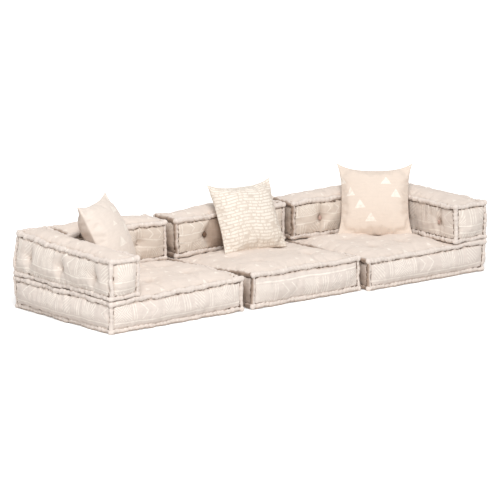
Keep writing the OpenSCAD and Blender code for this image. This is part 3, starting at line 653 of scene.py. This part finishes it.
def room_beside(name, axis, sign, covered=0.02):
    """How far it is from this side to the next cushion that covers more than a share of it."""
    low, high = map(np.array, box[name])
    room = FAR
    for other_low, other_high in (map(np.array, other) for other in box.values()):
        overlap = (np.minimum(other_high, high) - np.maximum(other_low, low)) / (high - low)
        ahead = other_low[axis] - high[axis] if sign > 0 else low[axis] - other_high[axis]
        if ahead > -0.02 and np.delete(overlap, axis).min() > covered:
            room = min(room, ahead)
    return room


def is_free(name, axis, sign):
    return room_beside(name, axis, sign) > NEIGHBOUR_ROOM


def shaded(name, axis, sign):
    """How much painted shade a side gets: one between two close cushions, or the underside of a seat."""
    if axis == 2:
        return 0.9 if sign < 0 and name in SEATS else 0.0
    return float(np.clip(3.2 - room_beside(name, axis, sign, 0.6) / 0.03, 0, 1.0))


def crown(name, points, axis, sign):
    """How far each point of a panel stands out from its seams."""
    if axis == 2 and sign < 0:
        return np.zeros(len(points))
    seat_top = name in SEATS and axis == 2
    low, high = sitting_area(name) if seat_top else box[name]
    free = is_free(name, axis, sign)
    rise = (EDGE_INSET - (0.003 if free else 0.006)) * beside_rolls(name, points, axis)[1]
    hill = 0.038 if seat_top else 0.024 if axis == 2 else 0.018 if free else 0.0
    for a in others(axis):
        # The hill starts beside a roll, or at the foot of a bolster
        start = low[a] + (UNDER_ROLL if low[a] == box[name][0][a] else 0)
        end = high[a] - (UNDER_ROLL if high[a] == box[name][1][a] else 0)
        hill = hill * swell((points[:, a] - start) / (end - start), 5.0 if seat_top else 3.5)
    return rise + hill


# %% [markdown]
# ## Covers before they are stuffed
# Each block gets the form of its six panels, and the twine draws them in at the tufts. Seams, tufts
# and what lies under a bolster will be held when the cover is stuffed.

# %% Covers before they are stuffed
ABOVE_FLOOR, PRESSED, TOP_TUFT_DEPTH, KNOT_RADIUS = 0.0006, 0.004, 0.010, 0.011
SIDE_CLOTH = {"seat": seat_cloth, "back": back_cloth, "arm": arm_cloth}

covers, sewn, panels = {}, {}, {}
for number, name in enumerate(CUSHIONS):
    low, high = box[name]
    inset = Vector([EDGE_INSET] * 3)
    start_low, start_high = low + inset, high - inset
    start_low.z = low.z + ABOVE_FLOOR
    bm = block(start_low, start_high, CELL)
    gather_rows(bm, start_low, start_high)
    map_cloth(bm, name, 0.37 * number)
    side_cloth = SIDE_CLOTH[name.split("_")[0]]
    cover = finish_piece(name, "_padding", bm, [side_cloth, top_cloth], "printed_cotton", "_cover")
    points = points_of(cover.data)
    shaped, panels[name] = points.copy(), []
    sides = np.zeros_like(points, int)
    sides[np.abs(points - np.array(start_low)) < 1e-4] = -1
    sides[np.abs(points - np.array(start_high)) < 1e-4] = 1
    inner = np.abs(sides).sum(1) == 1
    fixed = ~inner | (sides[:, 2] < 0)
    for axis, sign in product(range(3), (-1, 1)):
        on_panel = np.flatnonzero(inner & (sides[:, axis] == sign))
        here = points[on_panel]
        rise = crown(name, here, axis, sign)
        plane = (start_high if sign > 0 else start_low)[axis]
        seat_top = name in SEATS and axis == 2
        for knot in knots_on(name, axis, sign):
            away = away_from(knot, here)
            if seat_top:
                pull = 0.5 * np.exp(-away / 0.085) + 0.5 * np.exp(-away / 0.022)
            else:
                pull = np.exp(-away / (0.048 if knot["shown"] else 0.034))
            foot = (knot["foot"] - plane) * sign - (TOP_TUFT_DEPTH if seat_top else 0)
            rise = rise * (1 - pull) + foot * pull
            fixed[on_panel[(away < KNOT_RADIUS) | (away == away.min())]] = True
        shaped[on_panel, axis] = plane + sign * rise
        fixed[on_panel[beside_rolls(name, here, axis)[0] <= 0]] = True
        panels[name].append((on_panel, here, axis, sign))
    for other_low, other_high in lying_on(name) if name in SEATS else []:
        under = inner & (sides[:, 2] > 0) & np.all((points[:, :2] > np.array(other_low.xy) - PRESSED)
                                                  & (points[:, :2] < np.array(other_high.xy) + PRESSED), 1)
        shaped[under, 2] = high.z - PRESSED
        fixed |= under
    put_points(cover.data, shaped)
    covers[name], sewn[name] = cover, fixed
    print(cover.name, len(points), "points,", int(fixed.sum()), "held")

# %% [markdown]
# ## Throw pillows
# A pillow is two square panels sewn together. Its sides are drawn in between its ears, most of all
# at the top, while its weight presses the lower seam straight. The model shows how it leans: the
# longest edge of the zip in its lower seam runs along the pillow and the shortest through it.

# %% Pillows before they are stuffed
PILLOWS = {  # half its size and thickness, how far sides and top are drawn in, how it is moved, its cloth
    "pillow_left": (0.210, 0.0780, 0.018, 0.028, (0.012, 0.012), left_pillow_cloth),
    "pillow_middle": (0.195, 0.0700, 0.014, 0.034, (0.0, 0.004), middle_pillow_cloth),
    "pillow_right": (0.206, 0.0700, 0.026, 0.044, (0.008, 0.0), corner_pillow_cloth)}
LOWER_PINCH, SEAM, PILLOW_CELL = 0.006, 0.0016, 0.0105


def pillow_axes(name):
    corners = np.unique(np.round([v.co for v in nodes[name + "_zip"].data.vertices], 6), axis=0)
    steps = sorted((Vector(c - corners[0]) for c in corners[1:]), key=lambda step: step.length)
    through, up = steps[0].normalized(), steps[1].normalized()
    up = up if up.z > 0 else -up
    through = through if through.y < 0 else -through
    along = up.cross(through).normalized()
    axes = Matrix((along, up, through)).transposed()
    insert = np.array([v.co @ axes for v in nodes[name + "_insert"].data.vertices])
    centre = axes @ Vector((insert.min(0) + insert.max(0)) / 2)
    return Matrix.Translation(centre) @ axes.to_4x4()


pillow_at = {}
for name, (half, half_thickness, side_pinch, top_pinch, moved, cloth) in PILLOWS.items():
    bm = block(Vector((-half, -half, -SEAM)), Vector((half, half, SEAM)), PILLOW_CELL)
    cloth_map = bm.loops.layers.uv.new("cloth")
    for face in bm.faces:
        for loop in face.loops:
            loop[cloth_map].uv = (loop.vert.co.x + 0.4, loop.vert.co.y + 0.4)
    pillow = finish_piece(name, "_padding", bm, [cloth], "pillow_cotton", "_cover")
    points = points_of(pillow.data)
    s, t = points[:, 0] / half, points[:, 1] / half
    dome = np.clip((1 - s * s) * (1 - t * t), 0, 1) ** 0.64
    rear = (points[:, 2] < 0) & (name == "pillow_left")
    points[:, 2] = np.sign(points[:, 2]) * (SEAM + (half_thickness - SEAM) * dome)
    # Above the bolsters nothing presses on the rear of the left pillow, so that side is fuller there
    points[rear, 2] -= 0.034 * (dome[rear] ** 0.8) * np.clip(t[rear] * 1.4 + 0.3, 0, 1)
    points[:, 0] = s * (half - side_pinch * (1 - np.abs(t) ** 3) * s * s)
    points[:, 1] = t * (half - np.where(t > 0, top_pinch, LOWER_PINCH) * (1 - np.abs(s) ** 3) * t * t)
    points[:, :2] += moved
    put_points(pillow.data, points)
    # The rear of the left pillow gets painted shade
    note(pillow.data, "hollow", 0.25 * rear)
    covers[name], sewn[name] = pillow, np.maximum(np.abs(s), np.abs(t)) > 0.999
    pillow_at[name] = pillow_axes(name)
    print(pillow.name, "centre", [round(c, 3) for c in pillow_at[name].translation])

# %% [markdown]
# ## Stuffing
# Blender's Cloth does what the wadding does: it blows the panels up from inside while their seams and
# tufts hold. The cloth is a little too large, as a real cover is, so it comes to lie in small folds.
# No point may move further than 6 mm, and the result is written into the mesh.

# %% Stuff everything in one run
CAP = 0.006


def stuff(frames=18):
    scene = bpy.context.scene
    for name, cover in covers.items():
        group = cover.vertex_groups.new(name="sewn")
        group.add([int(i) for i in np.flatnonzero(sewn[name])], 1.0, "REPLACE")
        cloth = cover.modifiers.new("stuffing", "CLOTH")
        rules = cloth.settings
        rules.vertex_group_mass = "sewn"
        rules.quality, rules.mass = 5, 0.3
        rules.tension_stiffness = rules.compression_stiffness = 12
        rules.bending_stiffness = 0.4
        rules.effector_weights.gravity = 0
        rules.use_pressure, rules.uniform_pressure_force = True, 4.0
        rules.shrink_min = -0.05 if name.startswith("pillow") else -0.022
        cloth.collision_settings.use_collision = False
    for number in range(1, frames + 1):
        scene.frame_set(number)
    graph = bpy.context.evaluated_depsgraph_get()
    after = {name: points_of(cover.evaluated_get(graph).data) for name, cover in covers.items()}
    for name, cover in covers.items():
        before = points_of(cover.data)
        move = after[name] - before
        far = np.linalg.norm(move, axis=1, keepdims=True)
        move *= np.minimum(1, CAP / np.maximum(far, 1e-9))
        cover.modifiers.clear()
        cover.vertex_groups.clear()
        put_points(cover.data, before + move)
        print(name, "moved up to", round(float(far.max()) * 1000, 1), "mm")
    scene.frame_set(1)


stuff()

# %% [markdown]
# ## Pleats
# At a tuft in the side of a bolster the cloth folds into two pleats: one runs up and down, seldom
# quite upright, and a shallower one runs along. They are pressed in after the stuffing, which would
# blow them out again. The same step works out how much painted shade each point gets: in a groove,
# in a pleat, at a tuft, on a side towards the seat, beside a close neighbour and under a seat.

# %% Press in the pleats
PLEAT, ALONG_PLEAT, MOST_PLEAT, MOST_DARK = 0.015, 0.010, 0.019, 1.8
LEAN = {"back_middle": 0.42}
SEAT_SIDE_SHADE = {("back_left", 1): 0.16, ("arm_right", 0): 0.14}  # painted shade on the sides towards the seat


def fold(across, along, width, reach):
    """A fold that is deepest at its middle and a third as deep at its ends."""
    return np.exp(-(across / width) ** 2) * (0.35 + 0.65 * np.exp(-np.abs(along) / reach))


for name in CUSHIONS:
    cover = covers[name]
    low, high = box[name]
    points = points_of(cover.data)
    hollow, gather = np.zeros(len(points)), np.ones(len(points))
    for on_panel, here, axis, sign in panels[name]:
        beside, risen, dark = beside_rolls(name, here, axis)
        left_end = (axis == 0 and sign < 0) or name == "arm_left"
        # Painted shade beside a close neighbour is darker towards the bottom
        lower = 1.25 - 1.0 * (here[:, 2] - low.z) / (high.z - low.z)
        # Painted shade: in a groove beside a roll, weaker at the left end; on a side towards the seat;
        # beside a close neighbour
        darks = [dark * (0.4 if axis == 2 else 0.55 if left_end else 1.0),
                 np.full(len(here), SEAT_SIDE_SHADE.get((name, axis), 0.0) if sign < 0 else 0.0),
                 shaded(name, axis, sign) * lower * np.clip(0.55 + beside / 0.06, 0, 1)]
        for knot in knots_on(name, axis, sign):
            if axis == 2:
                # Painted shade in the dimple of a tuft in a seat's top
                darks.append(0.35 * np.exp(-(away_from(knot, here) / 0.02) ** 2))
                continue
            run, up = here[:, 1 - axis] - knot["centre"][1 - axis], here[:, 2] - knot["centre"].z
            lean = LEAN.get(name, chance.uniform(-0.3, 0.3))
            leaning = run - lean * np.abs(up)
            upright = fold(leaning, up, 0.012, 0.06)
            level = fold(up - 0.03 * np.sin(run * 20), run, 0.009, 0.05) * np.exp(-(run / 0.13) ** 2)
            pit = np.exp(-(np.hypot(run, up) / 0.024) ** 2) * (1.0 if knot["shown"] else 0.3)
            press = np.minimum(PLEAT * upright + ALONG_PLEAT * level, MOST_PLEAT)
            points[on_panel, axis] -= sign * press * (1 - np.exp(-beside / 0.010))
            shown = 1 if knot["shown"] else 0.6
            # Painted shade in the pleats and in the pit of the tuft
            darks += [0.5 * upright * (0.3 + 0.7 * np.exp(-np.abs(up) / 0.05)) * shown,
                      0.35 * level * shown, 0.7 * pit * shown]
            if name == "back_middle" and sign < 0 and knot["centre"].x < (low.x + high.x) / 2:
                # Right of the left tuft's V-shaped crease the cloth turns away from the light; there and
                # along the crease it gets painted shade
                darks += [0.8 * rising(leaning, 0, 0.012) * rising(-run, -0.16, 0.05), upright]
        hollow[on_panel] = np.clip(np.max(darks, axis=0), 0, MOST_DARK)
        gather[on_panel] = np.exp(-beside / 0.020)
    put_points(cover.data, points)
    note(cover.data, "hollow", hollow)
    note(cover.data, "gather", gather)
    print(cover.name, "has", len([k for k in knots[name] if k["axis"] < 2]), "pleated tufts")

# %% [markdown]
# ## Into place
# What swelled past a neighbour or into the floor is pressed back. Then the cushions get their
# wander, the pillows lean in their places, and all get one level of subdivision. A pillow's insert
# is its cover again, drawn in by the thickness of the cloth and a little air.

# %% Place the covers
FREE_ROOM, TIGHT_ROOM, TOP_ROOM, CLOTH_AND_AIR = 0.026, 0.001, 0.040, 0.003

for name, cover in covers.items():
    points = points_of(cover.data)
    if name in box:
        low, high = box[name]
        least = [low[a] - (FREE_ROOM if is_free(name, a, -1) else TIGHT_ROOM) for a in range(3)]
        most = [high[a] + (FREE_ROOM if is_free(name, a, 1) else TIGHT_ROOM) for a in range(3)]
        least[2], most[2] = low.z + ABOVE_FLOOR, high.z + TOP_ROOM
        points = wander(np.clip(points, least, most), name)
    else:
        points = np.array([pillow_at[name] @ Vector(p) for p in points])
    put_points(cover.data, points)
    smooth = cover.modifiers.new("smooth", "SUBSURF")
    smooth.levels = smooth.render_levels = 1
    if name in pillow_at:
        bm = bmesh.new()
        bm.from_mesh(cover.data)
        bm.normal_update()
        for vert in bm.verts:
            vert.co -= CLOTH_AND_AIR * vert.normal
        insert = finish_piece(name, "_wadding", bm, [wadding], "cotton_filling", "_insert")
        print(insert.name, len(insert.data.polygons), "faces")

# %% [markdown]
# ## Rolled edges
# Every edge of a mattress cover is pinched up, stuffed and stitched through from both sides, which
# leaves a firm roll as thick as a thumb. The stitches, about 27 mm apart, tie slanted waists into
# it. A roll is a cone with equal ends, cut into short rings that are narrowed and moved.

# %% One roll
ROLL, ROLL_DEPTH, STITCH = 0.0137, 0.014, 0.027
UPRIGHT_ROLL = 0.82  # how thick the upright rolls are beside the others
RING, SQUARE = 0.0040, 2.5  # pressed between its neighbours, a roll is a little square
UNITS = [Vector(row) for row in np.eye(3)]


def edges_of(name):
    """For each edge: its roll's start, direction, length and radius, and the sides that meet there."""
    low, high = box[name]
    for axis in range(3):
        for signs in product((-1, 1), repeat=2):
            sides = list(zip(others(axis), signs))
            start = low + Vector([ROLL_DEPTH] * 3)
            for across, sign in sides:
                if sign > 0:
                    start[across] = high[across] - ROLL_DEPTH
            radius = ROLL * (UPRIGHT_ROLL if axis == 2 else 1)
            yield start, UNITS[axis], (high - low)[axis] - 2 * ROLL_DEPTH, radius, sides


def roll(bm, layers, edge, shades):
    start, along, length, thickness, sides = edge
    cloth_map, hollow = layers
    first_vert, first_edge, first_face = len(bm.verts), len(bm.edges), len(bm.faces)
    bmesh.ops.create_cone(bm, cap_ends=True, segments=12, radius1=ROLL, radius2=ROLL, depth=length)
    bm.edges.ensure_lookup_table()
    lengthwise = [e for e in bm.edges[first_edge:] if abs((e.verts[0].co - e.verts[1].co).z) > length / 2]
    bmesh.ops.subdivide_edges(bm, edges=lengthwise, cuts=max(2, round(length / RING)) - 1)
    bm.verts.ensure_lookup_table()
    bm.faces.ensure_lookup_table()
    side, depth = (UNITS[axis] * -sign for axis, sign in sides)
    swing = chance.uniform(0, 6.28, 5)
    tight = chance.uniform(0.04, 0.28, int(length / STITCH) + 3)
    for vert in bm.verts[first_vert:]:
        run = vert.co.z + length / 2
        angle = math.atan2(vert.co.y, vert.co.x)
        cos, sin = math.cos(angle), math.sin(angle)
        at = run / STITCH + 0.16 * math.sin(angle + swing[4]) + 0.30 * math.sin(run * 19 + swing[0])
        waist = math.exp(-((at - round(at)) / 0.17) ** 2) * tight[min(max(round(at), 0), len(tight) - 1)]
        uneven = 0.05 * math.sin(run * 37 + swing[0]) + 0.05 * math.sin(run * 83 + swing[1])
        radius = thickness * (abs(cos) ** SQUARE + abs(sin) ** SQUARE) ** (-1 / SQUARE)
        radius *= 0.98 - waist + uneven
        sway = 0.0020 * math.sin(run * 23 + swing[1]) + 0.0014 * math.sin(run * 61 + swing[2])
        heave = 0.0016 * math.sin(run * 29 + swing[3]) + 0.0010 * math.sin(run * 67 + swing[0])
        vert.co = start + along * run + side * (radius * cos + sway) + depth * (radius * sin + heave)
        # Painted shade in the tied waists, and on the side of the roll that faces a close neighbour or the
        # floor
        tied = min(1.0, 2.0 * waist * (0.2 + 0.8 * max(0.0, cos, sin) ** 3))
        vert[hollow] = max(tied, shades[0] * max(0.0, -cos), shades[1] * max(0.0, -sin))
    for face in bm.faces[first_face:]:
        for loop in face.loops:
            p = loop.vert.co
            loop[cloth_map].uv = (p.dot(along), p.dot(side) + p.dot(depth))


# %% [markdown]
# ## Rolls and ears
# Twelve rolls go round each mattress. At each corner three of them are gathered into one ear.

# %% Rolled edges
EAR, EAR_STRETCH = ROLL + 0.0015, 1.10

for name in CUSHIONS:
    low, high = box[name]
    bm = bmesh.new()
    layers = bm.loops.layers.uv.new("cloth"), bm.verts.layers.float.new("hollow")
    for edge in edges_of(name):
        roll(bm, layers, edge, [shaded(name, *side) for side in edge[-1]])
    for signs in product((-1, 1), repeat=3):
        outward = Vector(signs).normalized()
        corner = Vector([(high if sign > 0 else low)[axis] for axis, sign in enumerate(signs)])
        middle = corner - outward * (ROLL_DEPTH * math.sqrt(3) - 0.0005)
        there = Matrix.Translation(middle) @ Matrix.Scale(EAR_STRETCH, 4, outward)
        made = bmesh.ops.create_uvsphere(bm, u_segments=14, v_segments=10, radius=EAR, matrix=there)
        for vert in made["verts"]:
            vert.co.z = max(vert.co.z, low.z)
    bmesh.ops.recalc_face_normals(bm, faces=bm.faces)
    rolls = finish_piece(name, "_piped_edges", bm, [rolled_cloth], "printed_cotton", "_rolled_edges")
    points = wander(points_of(rolls.data), name)
    points[:, 2] = np.maximum(points[:, 2], low.z)
    put_points(rolls.data, points)
    print(rolls.name, len(rolls.data.polygons), "faces")

# %% [markdown]
# ## Hand stitching
# A waxed thread runs along both sides of each roll, in and out, and makes the broken dark line
# there. A stitch is a six-sided rod, drawn 4 mm thick, because a real thread of 1.5 mm wouldn't
# show. No two are equally long. On the upper sides and at the left end they are mostly pale and
# hardly show.

# %% Stitches
THREAD, STITCH_LENGTH, LEFT_END = 0.0019, 0.017, -1.0


def standing(place, direction):
    """Stands a new shape on a place, with its upright axis in a direction."""
    return Matrix.Translation(place) @ direction.to_track_quat("Z", "Y").to_matrix().to_4x4()


def dress(made, material_index):
    for face in {f for v in made["verts"] for f in v.link_faces}:
        face.material_index = material_index


for name in CUSHIONS:
    bm = bmesh.new()
    bm.loops.layers.uv.new("cloth")
    for start, along, length, radius, sides in edges_of(name):
        first, second = (UNITS[axis] * sign for axis, sign in sides)
        count = int(length / STITCH)
        for side, out in ((-first, second), (-second, first)):
            for number in range(count if out.z > -0.5 else 0):
                run = (number + 0.5 + 0.15 * chance.normal()) * length / count
                tiny = chance.normal(size=3)
                place = (start + along * run + side * (radius * 0.98 + 0.0006 * tiny[0])
                         + out * (radius * 0.48 + 0.0006 * tiny[1]))
                slant = (along + side * 0.12 + out * 0.10 * tiny[2]).normalized()
                made = bmesh.ops.create_cone(bm, cap_ends=True, segments=6, radius1=THREAD, radius2=THREAD,
                                             depth=STITCH_LENGTH + 0.0035 * float(np.clip(tiny[0], -2, 2)),
                                             matrix=standing(place, slant))
                dress(made, 1 if out.z > 0.5 or (place.x < LEFT_END and number % 3) else 0)
    stitches = finish_piece(name, "_hand_stitches", bm, [thread, tuft_yarn], "tuft_thread")
    put_points(stitches.data, wander(points_of(stitches.data), name))
    print(stitches.name, len(stitches.data.polygons), "faces")

# %% [markdown]
# ## Tufts
# A tuft is a bundle of cotton yarn, tied in its middle and fanned out, which stops the twine from
# pulling through the cloth. It is made as a low button whose rim is gathered into petals. The yarn
# is undyed, but the right-hand bolsters have rosy tufts towards the seat, and the middle one a brown
# tuft, made darker still as painted shade for its deep pit.

# %% Tufts
TUFT, PETALS = 0.0112, 8

for name in CUSHIONS:
    bm = bmesh.new()
    bm.loops.layers.uv.new("cloth")
    for knot in knots[name]:
        out = UNITS[knot["axis"]] * knot["sign"]
        size = (1.2 if name == "back_middle" else 0.9) if knot["shown"] else 0.8 if out.z > 0 else 0.45
        deeper = 0.0 if knot["shown"] else TOP_TUFT_DEPTH if name in SEATS and out.z > 0 else 0.002
        foot = knot["centre"].copy()
        foot[knot["axis"]] = knot["foot"] - deeper * knot["sign"]
        turned = standing(foot, out) @ Matrix.Scale(size, 4)
        made = bmesh.ops.create_uvsphere(bm, u_segments=32, v_segments=12, radius=TUFT)
        start = chance.uniform(0, 6.28)
        for vert in made["verts"]:
            x, y, z = vert.co
            petals = 1 + 0.13 * math.cos(PETALS * math.atan2(y, x) + start)
            tied = 0.0012 * max(0, 1 - math.hypot(x, y) / 0.004)
            vert.co = turned @ Vector((x * petals, y * petals, z * 0.42 + 0.0040 - tied))
        dress(made, 1 if knot["shown"] else 0)
    # The middle bolster's tuft is brown and darkened further as painted shade
    shown = dark_tuft_yarn if name == "back_middle" else rosy_tuft_yarn
    tufts = finish_piece(name, "_tuft_buttons", bm, [tuft_yarn, shown], "tuft_thread", "_tufts")
    put_points(tufts.data, wander(points_of(tufts.data), name))
    print(tufts.name, len(knots[name]), "tufts")

# %% [markdown]
# ## What stays hidden
# The cores, the ties and the zips keep their shapes from the model and get the finish of their raw
# materials. So does every solid that a piece above stands for. The last word of a node's name says
# what it is.

# %% Finishes of the inner pieces
FINISHES = {"core": wadding, "insert": wadding, "ties": twine, "zip": zip_cloth, "edges": rolled_cloth,
            "tufts": tuft_yarn, "cover": seat_cloth}

for node_name, node in nodes.items():
    node.data.materials.clear()
    node.data.materials.append(FINISHES[node_name.split("_")[-1]])
    if "cloth" not in node.data.uv_layers:
        node.data.uv_layers.new(name="cloth")
print(len(nodes), "nodes finished")

# %% [markdown]
# ## Sizes
# The visual model may be a little larger than the model that it dresses, so both boxes are worked out.

# %% Work out the sizes and finish
low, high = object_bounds()
{"cad": [list(cad_low), list(cad_high)], "visual": [list(low), list(high)]}
print("visual", [round(v, 4) for v in low], [round(v, 4) for v in high])
